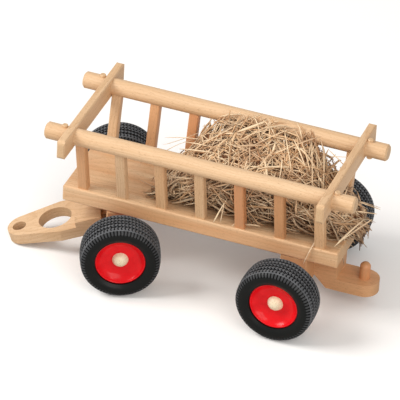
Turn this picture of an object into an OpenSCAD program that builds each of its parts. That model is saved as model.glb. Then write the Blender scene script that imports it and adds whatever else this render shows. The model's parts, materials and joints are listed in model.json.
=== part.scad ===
// Wooden toy hay wagon with side racks, a steered front truck and a hinged drawbar.
// +X points forward to the drawbar, +Y to the wagon's left, +Z up, and z = 0 is the floor.
// The origin lies on the floor under the middle of the whole wagon's box.

/* [Bed] */
// Length of the bed board
bed_l = 252; // [240:1:300]
// Width of the bed board
bed_w = 76; // [72:1:90]
// Thickness of the bed board
bed_t = 15; // [12:0.5:18]
// Height of the bed's underside above the axles
bed_lift = 20.5; // [19:0.5:26]

/* [Running gear] */
// Distance between the two axles
wheelbase = 173; // [160:1:200]
// Distance between the middles of the left and right tyres
track = 146; // [142:1:170]
// Outer diameter of a tyre
tyre_d = 70; // [60:1:84]
// Width of a tyre
tyre_w = 30; // [26:1:32]
// Diameter of the steel axles
axle_d = 5; // [4:0.5:6]
// Length of an axle block along the wagon
block_l = 24; // [22:0.2:26]
// Width of an axle block across the wagon
block_w = 74; // [66:1:76]
// Depth of an axle block below the axle
block_drop = 12; // [11:0.5:14]
// Angle that the front truck is turned to the left
steer_angle = 21.8; // [0:0.1:25]

/* [Wheel rims] */
// Outer diameter of the rim where the tyre sits
rim_d = 43.8; // [40:0.2:46]
// Width of the rim between its lips
rim_w = 23; // [20:1:25]
// Diameter of the hub
hub_d = 15; // [14:0.5:20]
// Thickness of the rim's web
web_t = 3; // [2:0.5:4]
// Diameter of the domed wooden wheel cap
cap_d = 14; // [12:0.5:16]
// Height of the domed wooden wheel cap
cap_h = 5.2; // [4:0.2:6]

/* [Racks] */
// Length of a rack pole
pole_l = 280; // [270:1:330]
// Diameter of a rack pole
pole_d = 15; // [13:0.5:17]
// Height of the poles above the bed's top
pole_rise = 57.7; // [50:0.1:75]
// Distance of each pole from the wagon's middle plane
pole_y = 44; // [43:0.5:52]
// Distance of each stake's foot from the wagon's middle plane
stake_foot_y = 32; // [30:0.5:32]
// Width of a stake along the wagon
stake_w = 8.8; // [7:0.2:11]
// Thickness of a stake across the wagon
stake_t = 8; // [6:0.5:9]
// Length of a crossbar across the wagon
bar_l = 141; // [126:1:160]
// Height of a crossbar
bar_h = 18.5; // [18:0.5:24]
// Thickness of a crossbar along the wagon
bar_t = 7.2; // [6:0.2:9]
// Distance of each crossbar from the middle of the bed
bar_x = 116.7; // [115:0.1:120]
// Diameter of the pegs that hold the crossbars on the poles
peg_d = 5; // [4:0.5:6]
// Length of a peg
peg_l = 19.5; // [17:0.5:23]

/* [Rear hitch] */
// Width of the hitch block and its tongue
hitch_w = 26.5; // [22:0.5:32]
// Distance from the rear axle to the back of the hitch block's riser
riser_back = 32.7; // [30:0.1:38]
// Distance from the rear axle to the hitch peg
hitch_reach = 54; // [50:0.5:62]
// Thickness of the hitch tongue
tongue_t = 11.6; // [10:0.2:14]
// Height of the hitch tongue's top above the floor
tongue_top = 26.6; // [24:0.2:30]
// Diameter of the hitch peg
hitch_peg_d = 9.4; // [8:0.2:11]
// Diameter of the hitch peg's spigot inside the tongue
hitch_spigot_d = 7; // [5:0.5:7.5]
// Height of the hitch peg above the tongue
hitch_peg_h = 16; // [13:0.5:20]

/* [Drawbar] */
// Thickness of the drawbar's front plate
plate_t = 10; // [9:0.5:11]
// Thickness that the drawbar's rear part stands above its front plate
pad_t = 5; // [3:0.5:6]
// Width of the drawbar at its rear part
drawbar_w = 46.6; // [44:0.2:52]
// Radius of the drawbar's round tip
tip_r = 14.5; // [12:0.5:17]
// Distance from the hinge to the middle of the round tip
tip_u = 86; // [82:0.5:100]
// Distance from the hinge to the middle of the coupling eye
eye_u = 89.8; // [86:0.2:100]
// Diameter of the coupling eye
eye_d = 12.2; // [11:0.2:13.4]
// Distance from the hinge to the middle of the finger hole
finger_u = 57.2; // [54:0.2:62]
// Diameter of the finger hole
finger_d = 30; // [24:0.5:32]
// Distance from the hinge to the place where the plate starts to taper
taper_u = 53; // [50:0.5:58]
// Distance from the hinge to the step between the plate and the rear part
step_u = 38; // [36:0.5:42]
// Width of the drawbar's tenon inside the front axle block
tenon_w = 24; // [20:0.5:30]
// Angle that the drawbar can be lifted from the floor
lift_range = 27; // [10:1:27]

/* [Hay] */
// Height of the hay at its top above the bed
hay_h = 65; // [30:1:66]
// Distance from the front of the bed to the front of the hay
hay_front = 76; // [50:1:120]
// Length of the hay that hangs over the back of the bed
hay_spill = 17; // [10:1:20]

/* [Finish] */
// Radius that eases the edges of the boards
board_ease = 1.5; // [1:0.25:2]
// Radius of the crossbars' corners
bar_round = 4; // [2:0.5:6]
// Radius that eases the edges of the stakes
stake_ease = 1.2; // [0.75:0.25:2]
// Length of the chamfer on the ends of the poles
pole_chamfer = 1.4; // [0.5:0.1:2]

/* [Hidden] */
$fn = 64;
// fits
glue_gap = 0.05;      // between pieces that are glued or pressed together, on the radius
run_gap = 0.06;       // between a shaft and what turns on it, on the radius
side_gap = 0.4;       // between faces that slide past each other
turn_gap = 0.5;       // between the front axle block and the bed
soft_gap = 0.4;       // around the hay
head_gap = 3.4;       // between the drawbar's tenon and the kingpin's head

// heights
axle_z = tyre_d / 2;
bed_z = axle_z + bed_lift;
bed_top = bed_z + bed_t;
pole_z = bed_top + pole_rise;
block_z = axle_z - block_drop;

// places along the wagon, measured from the rear axle
mid_x = wheelbase / 2;
bed_back = mid_x - bed_l / 2;
bed_front = mid_x + bed_l / 2;

// drawbar: its tip's lower edge rests on the floor
tip_end_u = tip_u + tip_r;
drop_reach = sqrt(pow(tip_end_u, 2) + pow(plate_t / 2, 2));
droop = asin(axle_z / drop_reach) - atan(plate_t / 2 / tip_end_u);

// the box of the whole wagon along X
tip_lean = sqrt(1 - pow(cos(steer_angle) * sin(droop), 2));
tip_x = wheelbase + tip_u * cos(droop) * cos(steer_angle) + tip_r * tip_lean
    + plate_t / 2 * cos(steer_angle) * sin(droop);
tail_x = -hitch_reach - hitch_w / 2;
origin_x = (tip_x + tail_x) / 2;

// axle and wheel, measured along the axle from the wagon's middle plane
cap_bore = 3;                                  // depth of the axle's hole in a cap
web_y = track / 2 + 4;                         // middle of the rim's web
hub_out_y = web_y + web_t / 2 + 0.5;           // outer end of the hub
hub_in_y = block_w / 2 + side_gap;             // inner end of the hub's sleeve
cap_y = hub_out_y + side_gap;                  // inner face of the cap
axle_l = 2 * (cap_y + cap_bore);
tyre_shoulder = 7;                             // radius of the tyre's shoulders
bead_out = 1.2;                                // how far the tyre's side stands out past the rim
bead_rise = 4;                                 // height over which the tyre's side draws in to the rim

// front truck
tenon_r = plate_t / 2;
slot_r = tenon_r + side_gap;
shoulder_u = (block_l / 2 + side_gap + tenon_r * sin(droop)) / cos(droop);
kingpin_d = 8;
kingpin_head_d = 12;
kingpin_head_t = 1.5;
kingpin_z = axle_z + slot_r + head_gap;        // underside of the kingpin's head
kingpin_seat = kingpin_z + kingpin_head_t;     // where the block rests on the head

// racks
stake_count = 7;                               // on each side, one node each
stake_pitch = 2 * (bar_x - bar_t / 2 - side_gap - stake_w / 2) / (stake_count - 1);
stake_rise = pole_z - bed_top;
stake_lean = atan((pole_y - stake_foot_y) / stake_rise);
stake_reach = sqrt(pow(stake_rise, 2) + pow(pole_y - stake_foot_y, 2));
peg_x = bar_x + bar_t / 2 + side_gap + peg_d / 2;

// hay
hay_foot_y = stake_foot_y - stake_t / 2 / cos(stake_lean) - soft_gap;   // half its width on the bed
hay_x1 = bed_front - hay_front;
hay_x0 = bed_back - hay_spill;
hay_bed_share = (hay_x1 - bed_back) / (hay_x1 - hay_x0);                // share of its length on the bed
hay_overhang = 1 - hay_bed_share;
hay_droop = 6;                                 // how far the overhanging hay reaches below the bed's top
hay_sag = 0.06;                                // how far its top sags between its two sides
hay_cols = 10;
// the hay's sections, front to back: share of its length, and its top at the left and the right side as
// shares of its full height
hay_sections = [
    [0, 0.05, 0.06], [0.08, 0.25, 0.32], [0.16, 0.45, 0.74], [0.26, 0.56, 0.95], [0.40, 0.66, 1],
    [0.52, 0.68, 0.97], [0.64, 0.66, 1], [0.71, 0.58, 0.9], [0.78, 0.48, 0.68], [0.86, 0.38, 0.42],
    [hay_bed_share, 0.30, 0.34], [hay_bed_share + 0.05 * hay_overhang, 0.29, 0.33],
    [hay_bed_share + 0.6 * hay_overhang, 0.22, 0.24], [1, 0.07, 0.08]];

// ---- shapes ----

// rectangle centred on the origin with round corners
module round_rect(a, b, r) {
    square([a - 2 * r, b], center = true);
    square([a, b - 2 * r], center = true);
    for (sx = [-1, 1], sy = [-1, 1]) translate([sx * (a / 2 - r), sy * (b / 2 - r)]) circle(r);
}

// board centred on the origin with all its edges eased
module eased_box(size, r) {
    intersection() {
        linear_extrude(size[2], center = true) round_rect(size[0], size[1], r);
        rotate([90, 0, 0]) linear_extrude(size[1], center = true) round_rect(size[0], size[2], r);
        rotate([90, 0, 90]) linear_extrude(size[0], center = true) round_rect(size[1], size[2], r);
    }
}

// dowel along Z, centred, with chamfered ends
module dowel(d, l, chamfer) {
    cylinder(d = d, h = l - 2 * chamfer, center = true);
    for (s = [0, 1]) mirror([0, 0, s]) translate([0, 0, l / 2 - chamfer])
        cylinder(d1 = d, d2 = d - 2 * chamfer, h = chamfer);
}

// ---- places ----

// the wagon's own frame: x = 0 at the rear axle
module wagon_frame() { translate([-origin_x, 0, 0]) children(); }

// the front truck's frame: the kingpin's foot point, turned by the steering angle
module truck_frame() { wagon_frame() translate([wheelbase, 0, 0]) rotate([0, 0, steer_angle]) children(); }

// the drawbar's frame: on the front axle, with x along the plate
module drawbar_frame() { truck_frame() translate([0, 0, axle_z]) rotate([0, droop, 0]) children(); }

// side = 1 is left and -1 is right
module on_side(side) { mirror([0, side < 0 ? 1 : 0, 0]) children(); }

module rack_place(side) { translate([mid_x, side * pole_y, pole_z]) children(); }

// along the leaning line from a stake's foot to the pole, with z along the stake
module stake_place(side, n) {
    x = mid_x + ((stake_count + 1) / 2 - n) * stake_pitch;
    on_side(side) translate([x, stake_foot_y, bed_top]) rotate([-stake_lean, 0, 0]) children();
}

// ---- racks ----

module pole_bar(d) { rotate([0, 90, 0]) cylinder(d = d, h = pole_l, center = true); }

module peg_holes() {
    for (s = [-1, 1]) translate([s * peg_x, 0, 0]) cylinder(d = peg_d + 2 * glue_gap, h = 2 * pole_d, center = true);
}

module pole(side) {
    color("burlywood") wagon_frame() rack_place(side) difference() {
        rotate([0, 90, 0]) dowel(pole_d, pole_l, pole_chamfer);
        peg_holes();
    }
}

module stake(side, n) {
    color("wheat") wagon_frame() difference() {
        intersection() {
            stake_place(side, n) linear_extrude(2 * stake_reach, center = true)
                round_rect(stake_w, stake_t, stake_ease);
            translate([mid_x, 0, bed_top + stake_rise / 2]) cube([bed_l, 4 * pole_y, stake_rise], center = true);
        }
        rack_place(side) pole_bar(pole_d + 2 * glue_gap);
    }
}

module crossbar(end) {
    color("wheat") wagon_frame() difference() {
        translate([mid_x + end * bar_x, 0, pole_z]) intersection() {
            eased_box([bar_t, bar_l, bar_h], board_ease);
            rotate([90, 0, 90]) linear_extrude(bar_t + 2, center = true) round_rect(bar_l, bar_h, bar_round);
        }
        for (side = [-1, 1]) rack_place(side) pole_bar(pole_d + 2 * glue_gap);
    }
}

module pole_peg(end, side) {
    color("tan") wagon_frame() rack_place(side) translate([end * peg_x, 0, 0]) dowel(peg_d, peg_l, 0.5);
}

// ---- bed and rear ----

module bed() {
    color("wheat") wagon_frame() difference() {
        translate([mid_x, 0, bed_z + bed_t / 2]) eased_box([bed_l, bed_w, bed_t], board_ease);
        translate([wheelbase, 0, bed_z - 1]) cylinder(d = kingpin_d + 2 * glue_gap, h = bed_t + 2);
    }
}

module block_bar(top_z) {
    h = top_z - block_z;
    difference() {
        translate([0, 0, block_z + h / 2]) eased_box([block_l, block_w, h], board_ease);
        translate([0, 0, axle_z]) rotate([90, 0, 0])
            cylinder(d = axle_d + 2 * glue_gap, h = block_w + 2, center = true);
    }
}

module rear_axle_block() { color("burlywood") wagon_frame() block_bar(bed_z); }

// side outline of the hitch block, in the X-Z plane: riser under the bed and tongue behind it
module hitch_side() {
    nose = block_l / 2;
    chamfer = tongue_t;
    polygon([
        [-nose, bed_z], [-riser_back, bed_z], [-riser_back, tongue_top], [-hitch_reach, tongue_top],
        [-hitch_reach, tongue_top - tongue_t], [-nose - chamfer, tongue_top - tongue_t],
        [-nose, tongue_top - tongue_t + chamfer]]);
}

module hitch_block() {
    color("burlywood") wagon_frame() difference() {
        union() {
            rotate([90, 0, 0]) linear_extrude(hitch_w, center = true) hitch_side();
            translate([-hitch_reach, 0, tongue_top - tongue_t]) cylinder(d = hitch_w, h = tongue_t);
        }
        translate([-hitch_reach, 0, 0]) cylinder(d = hitch_spigot_d + 2 * glue_gap, h = tongue_top + 1);
    }
}

module hitch_peg() {
    r = hitch_peg_d / 2;
    color("tan") wagon_frame() translate([-hitch_reach, 0, tongue_top]) {
        translate([0, 0, -tongue_t]) cylinder(d = hitch_spigot_d, h = tongue_t + 1);
        cylinder(r = r, h = hitch_peg_h - r);
        translate([0, 0, hitch_peg_h - r]) intersection() {
            sphere(r);
            cylinder(r = 2 * r, h = 2 * r);
        }
    }
}

module kingpin() {
    color("tan") wagon_frame() translate([wheelbase, 0, kingpin_z]) {
        cylinder(d = kingpin_head_d, h = kingpin_head_t);
        cylinder(d = kingpin_d, h = bed_top - kingpin_z);
    }
}

// ---- running gear ----

module axle() { translate([0, 0, axle_z]) rotate([90, 0, 0]) cylinder(d = axle_d, h = axle_l, center = true); }

module wheel_cap(side) {
    dome_r = (pow(cap_d / 2, 2) + pow(cap_h, 2)) / (2 * cap_h);
    on_side(side) translate([0, cap_y, axle_z]) rotate([-90, 0, 0]) difference() {
        intersection() {
            translate([0, 0, cap_h - dome_r]) sphere(dome_r, $fn = 96);
            cylinder(d = cap_d, h = cap_h);
        }
        translate([0, 0, -1]) cylinder(d = axle_d + 2 * glue_gap, h = cap_bore + 1 + glue_gap);
    }
}

// half of the rim's section: radius along x and the wheel's outward axis along y
module rim_section() {
    bore_r = axle_d / 2 + run_gap;
    rim_r = rim_d / 2;
    barrel_t = 2.2;
    y0 = track / 2;
    // hub with its long inner sleeve
    translate([bore_r, hub_in_y]) square([hub_d / 2 - bore_r, hub_out_y - hub_in_y]);
    // web
    translate([bore_r, web_y - web_t / 2]) square([rim_r - barrel_t - bore_r + 0.5, web_t]);
    // barrel under the tyre
    translate([rim_r - barrel_t, y0 - rim_w / 2]) square([barrel_t, rim_w]);
}

module rim(side) {
    color("red") on_side(side) translate([0, 0, axle_z]) rotate([-90, 0, 0])
        rotate_extrude($fn = 96) rim_section();
}

// half of the tyre's section: a ring with round shoulders and sides that draw in to the rim
module tyre_section() {
    seat_r = rim_d / 2 + glue_gap;
    r = tyre_d / 2;
    w = tyre_w / 2;
    bead_y = rim_w / 2 + bead_out;
    difference() {
        union() {
            translate([seat_r, -w]) square([r - tyre_shoulder - seat_r, tyre_w]);
            translate([seat_r, -w + tyre_shoulder]) square([r - seat_r, tyre_w - 2 * tyre_shoulder]);
            for (s = [-1, 1]) translate([r - tyre_shoulder, s * (w - tyre_shoulder)]) circle(tyre_shoulder);
        }
        translate([0, -w - 1]) square([seat_r, tyre_w + 2]);
        for (s = [-1, 1]) polygon([
            [0, s * bead_y], [seat_r, s * bead_y], [seat_r + bead_rise, s * w],
            [seat_r + bead_rise, s * (w + 1)], [0, s * (w + 1)]]);
    }
}

module tyre(side) {
    color("dimgray") on_side(side) translate([0, track / 2, axle_z]) rotate([-90, 0, 0])
        rotate_extrude($fn = 96) tyre_section();
}

// ---- front truck ----

// space that the drawbar's tenon sweeps, in the X-Z plane with the axle at the origin
module tenon_sweep() {
    reach = block_l;
    up = lift_range - droop;
    polygon([
        [-slot_r, -slot_r], [-slot_r * tan(droop / 2), -slot_r],
        [reach, -slot_r / cos(droop) - reach * tan(droop)],
        [reach, slot_r / cos(up) + reach * tan(up)],
        [-slot_r, slot_r / cos(up) - slot_r * tan(up)]]);
}

module front_axle_block() {
    color("burlywood") truck_frame() difference() {
        block_bar(bed_z - turn_gap);
        translate([0, 0, axle_z]) rotate([90, 0, 0])
            linear_extrude(tenon_w + 2 * side_gap, center = true) tenon_sweep();
        translate([0, 0, axle_z + tenon_r]) cylinder(d = kingpin_head_d + 2 * side_gap,
            h = kingpin_seat - axle_z - tenon_r + glue_gap);
        translate([0, 0, axle_z]) cylinder(d = kingpin_d + 2 * run_gap, h = bed_z);
    }
}

// top outline of the drawbar: round tip, taper, straight rear part and tenon
module drawbar_outline() {
    half = drawbar_w / 2;
    dx = tip_u - taper_u;
    reach = sqrt(dx * dx + half * half);
    touch = atan2(half, -dx) - acos(tip_r / reach);
    translate([tip_u, 0]) circle(tip_r);
    polygon([
        [shoulder_u, -half], [taper_u, -half], [tip_u + tip_r * cos(touch), -tip_r * sin(touch)],
        [tip_u, 0],
        [tip_u + tip_r * cos(touch), tip_r * sin(touch)], [taper_u, half], [shoulder_u, half]]);
    translate([0, -tenon_w / 2]) square([shoulder_u + 1, tenon_w]);
}

module drawbar() {
    color("wheat") drawbar_frame() difference() {
        union() {
            linear_extrude(plate_t, center = true) drawbar_outline();
            rotate([90, 0, 0]) cylinder(r = tenon_r, h = tenon_w, center = true);
            translate([(shoulder_u + step_u) / 2, 0, plate_t / 2 + pad_t / 2])
                cube([step_u - shoulder_u, drawbar_w, pad_t], center = true);
        }
        rotate([90, 0, 0]) cylinder(d = axle_d + 2 * run_gap, h = tenon_w + 2, center = true);
        translate([eye_u, 0, 0]) cylinder(d = eye_d, h = 2 * plate_t, center = true);
        translate([finger_u, 0, 0]) cylinder(d = finger_d, h = 2 * plate_t, center = true);
    }
}

// ---- hay ----

// height of the hay's top above the bed in one of its sections, from right (t = -1) to left (t = 1)
function hay_top(section, t) =
    let (across = (1 - t) / 2, sag = hay_sag * (1 - t * t))
    hay_h * max(0.04, section[1] + (section[2] - section[1]) * across - sag * section[2]);

// half of the hay's width at a height above the bed: its sides lean out behind the stakes
function hay_half(h) = min(pole_y - pole_d / 2 - soft_gap, hay_foot_y + h * tan(stake_lean));

function hay_x(section) = hay_x1 - section[0] * (hay_x1 - hay_x0);

// where a section lies on: the bed, or the air behind it
function hay_floor(x) = x > bed_back - soft_gap - 0.01 ? bed_top + soft_gap : bed_top - hay_droop;

function hay_lower(section, t) = [hay_x(section), t * hay_foot_y, hay_floor(hay_x(section))];

function hay_upper(section, t) =
    let (h = hay_top(section, t))
    [hay_x(section), t * hay_half(h), bed_top + h + soft_gap];

module hay_load() {
    across = [for (j = [0:hay_cols]) -1 + 2 * j / hay_cols];
    rows = len(hay_sections);
    n = hay_cols + 1;
    m = rows * n;
    points = concat(
        [for (section = hay_sections, t = across) hay_lower(section, t)],
        [for (section = hay_sections, t = across) hay_upper(section, t)]);
    cells = [for (i = [0:rows - 2], j = [0:hay_cols - 1]) i * n + j];
    edge = concat([for (i = [0:rows - 2]) i * n], [for (j = [0:hay_cols - 1]) (rows - 1) * n + j],
        [for (i = [rows - 1:-1:1]) i * n + hay_cols], [for (j = [hay_cols:-1:1]) j]);
    around = [for (k = [0:len(edge) - 1]) [edge[k], edge[(k + 1) % len(edge)]]];
    color("khaki") wagon_frame() polyhedron(points = points, faces = concat(
        [for (c = cells) [c, c + n + 1, c + n]], [for (c = cells) [c, c + 1, c + n + 1]],
        [for (c = cells) [m + c, m + c + n, m + c + n + 1]], [for (c = cells) [m + c, m + c + n + 1, m + c + 1]],
        [for (e = around) [e[0], e[1], m + e[1]]], [for (e = around) [e[0], m + e[1], m + e[0]]]));
}

bed();
pole(1);  // left_pole
pole(-1);  // right_pole
crossbar(1);  // front_crossbar
crossbar(-1);  // rear_crossbar
stake(1, 1);  // left_stake_1
stake(1, 2);  // left_stake_2
stake(1, 3);  // left_stake_3
stake(1, 4);  // left_stake_4
stake(1, 5);  // left_stake_5
stake(1, 6);  // left_stake_6
stake(1, 7);  // left_stake_7
stake(-1, 1);  // right_stake_1
stake(-1, 2);  // right_stake_2
stake(-1, 3);  // right_stake_3
stake(-1, 4);  // right_stake_4
stake(-1, 5);  // right_stake_5
stake(-1, 6);  // right_stake_6
stake(-1, 7);  // right_stake_7
pole_peg(1, 1);  // front_left_pole_peg
pole_peg(1, -1);  // front_right_pole_peg
pole_peg(-1, 1);  // rear_left_pole_peg
pole_peg(-1, -1);  // rear_right_pole_peg
rear_axle_block();
color("silver") wagon_frame() axle();  // rear_axle
color("wheat") wagon_frame() wheel_cap(1);  // rear_left_wheel_cap
color("wheat") wagon_frame() wheel_cap(-1);  // rear_right_wheel_cap
hitch_block();
hitch_peg();
kingpin();
hay_load();
front_axle_block();
color("silver") truck_frame() axle();  // front_axle
color("wheat") truck_frame() wheel_cap(1);  // front_left_wheel_cap
color("wheat") truck_frame() wheel_cap(-1);  // front_right_wheel_cap
drawbar();
truck_frame() rim(1);  // front_left_rim
truck_frame() tyre(1);  // front_left_tyre
truck_frame() rim(-1);  // front_right_rim
truck_frame() tyre(-1);  // front_right_tyre
wagon_frame() rim(1);  // rear_left_rim
wagon_frame() tyre(1);  // rear_left_tyre
wagon_frame() rim(-1);  // rear_right_rim
wagon_frame() tyre(-1);  // rear_right_tyre
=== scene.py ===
"""Looks of a wooden toy hay wagon: oiled beech, moulded rubber tyres, glossy red rims and a heap of hay.

Every piece stands in the wagon's own frame, in metres: +X forward to the drawbar, +Y to its left, +Z up
and the floor at z = 0.
"""

import json
import logging
from dataclasses import dataclass, field
from enum import Enum

import bpy
import numpy as np
from mathutils import Matrix, Vector


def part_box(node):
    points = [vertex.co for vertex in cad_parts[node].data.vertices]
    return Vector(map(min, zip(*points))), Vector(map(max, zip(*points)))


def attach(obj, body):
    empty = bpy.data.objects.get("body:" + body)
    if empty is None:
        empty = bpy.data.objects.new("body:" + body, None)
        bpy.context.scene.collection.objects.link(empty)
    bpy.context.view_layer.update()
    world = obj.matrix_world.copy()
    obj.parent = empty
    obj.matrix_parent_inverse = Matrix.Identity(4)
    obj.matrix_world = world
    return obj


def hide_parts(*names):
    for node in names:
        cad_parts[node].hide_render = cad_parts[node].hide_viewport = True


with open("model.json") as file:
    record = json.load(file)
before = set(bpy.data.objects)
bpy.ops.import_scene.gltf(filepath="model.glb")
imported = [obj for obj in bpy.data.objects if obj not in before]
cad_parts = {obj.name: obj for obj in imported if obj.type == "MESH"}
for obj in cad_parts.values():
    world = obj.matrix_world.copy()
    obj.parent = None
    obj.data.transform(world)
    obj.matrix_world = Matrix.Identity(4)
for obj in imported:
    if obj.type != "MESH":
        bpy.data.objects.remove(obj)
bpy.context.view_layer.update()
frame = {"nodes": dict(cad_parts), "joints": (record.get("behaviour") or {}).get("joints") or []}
LOG = logging.getLogger("hay_wagon")
Triple = tuple[float, float, float]
Colour = Triple
MM = 0.001
QUARTER = float(np.radians(90))


class Slot(Enum):
    """The record's material slots."""

    BOARD = "beech_board"
    DOWEL = "beech_dowel"
    HAY = "hay"
    STEEL = "axle_steel"
    RED = "red_plastic"
    RUBBER = "tyre_rubber"


class Tone(Enum):
    """How a piece of beech looks: its pale wood, its warm wood and its end grain."""

    PALE = ((0.740, 0.510, 0.310), (0.660, 0.425, 0.235), (0.60, 0.405, 0.230))
    NATURAL = ((0.710, 0.455, 0.255), (0.620, 0.355, 0.180), (0.55, 0.335, 0.170))
    MOTTLED = ((0.760, 0.540, 0.330), (0.650, 0.350, 0.170), (0.60, 0.375, 0.195))
    WARM = ((0.690, 0.380, 0.190), (0.590, 0.285, 0.125), (0.55, 0.300, 0.145))
    ROSY = ((0.650, 0.300, 0.135), (0.560, 0.225, 0.090), (0.50, 0.240, 0.100))
    SAPWOOD = ((0.900, 0.790, 0.590), (0.840, 0.700, 0.480), (0.86, 0.740, 0.530))


class Side(Enum):
    """The wagon's two sides, as the sign of y."""

    LEFT = 1
    RIGHT = -1


# ---------------------------------------------------------------- node trees


class Tree:
    """A material's node tree, with short calls that add and link its nodes."""

    def __init__(self, name: str, world: bpy.types.World | None = None) -> None:
        """Starts a material with a Principled shader, or takes up a world's own tree.

        Args:
            name: the material's name.
            world: the world whose tree is built instead of a material's.
        """
        self.material = world or bpy.data.materials.new(name)
        self.material.use_nodes = True
        self.nodes = self.material.node_tree.nodes
        self.links = self.material.node_tree.links
        self.shader = self.nodes.get("Principled BSDF")

    def feed(self, socket: bpy.types.NodeSocket, value: object) -> None:
        """Links a socket to an input, or sets the input's own value.

        Args:
            socket: the input.
            value: the socket that feeds it, or its value, where a colour has no alpha.
        """
        if isinstance(value, bpy.types.NodeSocket):
            self.links.new(value, socket)
        else:
            socket.default_value = (*value, 1.0) if socket.type == "RGBA" else value

    def add(self, kind: str, inputs: dict | None = None, **settings: object) -> bpy.types.Node:
        """Adds a node.

        Args:
            kind: the node's type without its ShaderNode prefix.
            inputs: each input's name or number, with a value or the socket that feeds it.
            settings: the node's own properties.

        Returns:
            The node.
        """
        node = self.nodes.new("ShaderNode" + kind)
        for key, value in settings.items():
            setattr(node, key, value)
        for key, value in (inputs or {}).items():
            self.feed(node.inputs[key], value)
        return node

    def math(self, operation: str, a: object, b: object = 0.0, clamp: bool = False) -> bpy.types.NodeSocket:
        """Adds a Math node and returns its output.

        Args:
            operation: the node's operation.
            a: the first value or socket.
            b: the second value or socket.
            clamp: whether the result stays between 0 and 1.

        Returns:
            The result's socket.
        """
        return self.add("Math", {0: a, 1: b}, operation=operation, use_clamp=clamp).outputs[0]

    def plus(self, a: object, b: object, clamp: bool = False) -> bpy.types.NodeSocket:
        """Returns the socket of a plus b, kept between 0 and 1 if clamp is set."""
        return self.math("ADD", a, b, clamp)

    def minus(self, a: object, b: object) -> bpy.types.NodeSocket:
        """Returns the socket of a minus b."""
        return self.math("SUBTRACT", a, b)

    def times(self, a: object, b: object) -> bpy.types.NodeSocket:
        """Returns the socket of a times b."""
        return self.math("MULTIPLY", a, b)

    def step(self, value: object, low: float, high: float) -> bpy.types.NodeSocket:
        """Adds a smooth step.

        Args:
            value: the value or socket that it reads.
            low: where the step is 0.
            high: where the step is 1.

        Returns:
            The step's socket.
        """
        node = self.add("MapRange", {"Value": value, "From Min": low, "From Max": high},
                        interpolation_type="SMOOTHSTEP")
        return node.outputs["Result"]

    def mix(self, factor: object, a: object, b: object) -> bpy.types.NodeSocket:
        """Mixes two colours.

        Args:
            factor: the second colour's share, as a value or socket.
            a: the first colour or socket.
            b: the second colour or socket.

        Returns:
            The colour's socket.
        """
        node = self.add("Mix", data_type="RGBA")
        for number, value in ((0, factor), (6, a), (7, b)):
            self.feed(node.inputs[number], value)
        return node.outputs[2]

    def place(self, centre: Triple, turn: Triple = (0.0, 0.0, 0.0),
              kind: str = "Object") -> bpy.types.NodeSocket:
        """Coordinates of a piece's own, centred and turned.

        Args:
            centre: the place that becomes the middle, in metres.
            turn: the turn of the piece's axes, in radians.
            kind: the Texture Coordinate output that is read.

        Returns:
            The vector's socket.
        """
        coords = self.add("TexCoord").outputs[kind]
        return self.add("Mapping", {"Vector": coords, "Location": centre, "Rotation": turn},
                        vector_type="TEXTURE").outputs[0]

    def noise(self, place: bpy.types.NodeSocket, stretch: Triple, detail: float = 3.0,
              rough: float = 0.55) -> bpy.types.NodeSocket:
        """Noise on a place that is stretched first.

        Args:
            place: the place's vector socket.
            stretch: cells per metre along each axis.
            detail: the noise's octaves.
            rough: the share that each finer octave keeps.

        Returns:
            The socket of a value around 0.5.
        """
        scaled = self.add("VectorMath", {0: place, 1: stretch}, operation="MULTIPLY").outputs[0]
        node = self.add("TexNoise", {"Vector": scaled, "Scale": 1.0, "Detail": detail, "Roughness": rough})
        return node.outputs["Fac"]

    def set(self, **values: object) -> None:
        """Sets or feeds the shader's inputs.

        Args:
            values: each input's name, with underscores for its spaces, and its value or socket.
        """
        for key, value in values.items():
            self.feed(self.shader.inputs[key.replace("_", " ")], value)

    def bump(self, height: object, strength: float, distance: float) -> None:
        """Feeds a height to the shader's normal.

        Args:
            height: the height's socket.
            strength: how strongly it shows, 0 to 1.
            distance: the relief's depth in metres.
        """
        node = self.add("Bump", {"Height": height, "Strength": strength, "Distance": distance})
        self.links.new(node.outputs["Normal"], self.shader.inputs["Normal"])


# ---------------------------------------------------------------- finishes


@dataclass(frozen=True)
class Grain:
    """Where a piece was cut from the plank: its middle, and the turn that lays the grain along x."""

    centre: Triple
    turn: Triple
    seed: int


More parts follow.
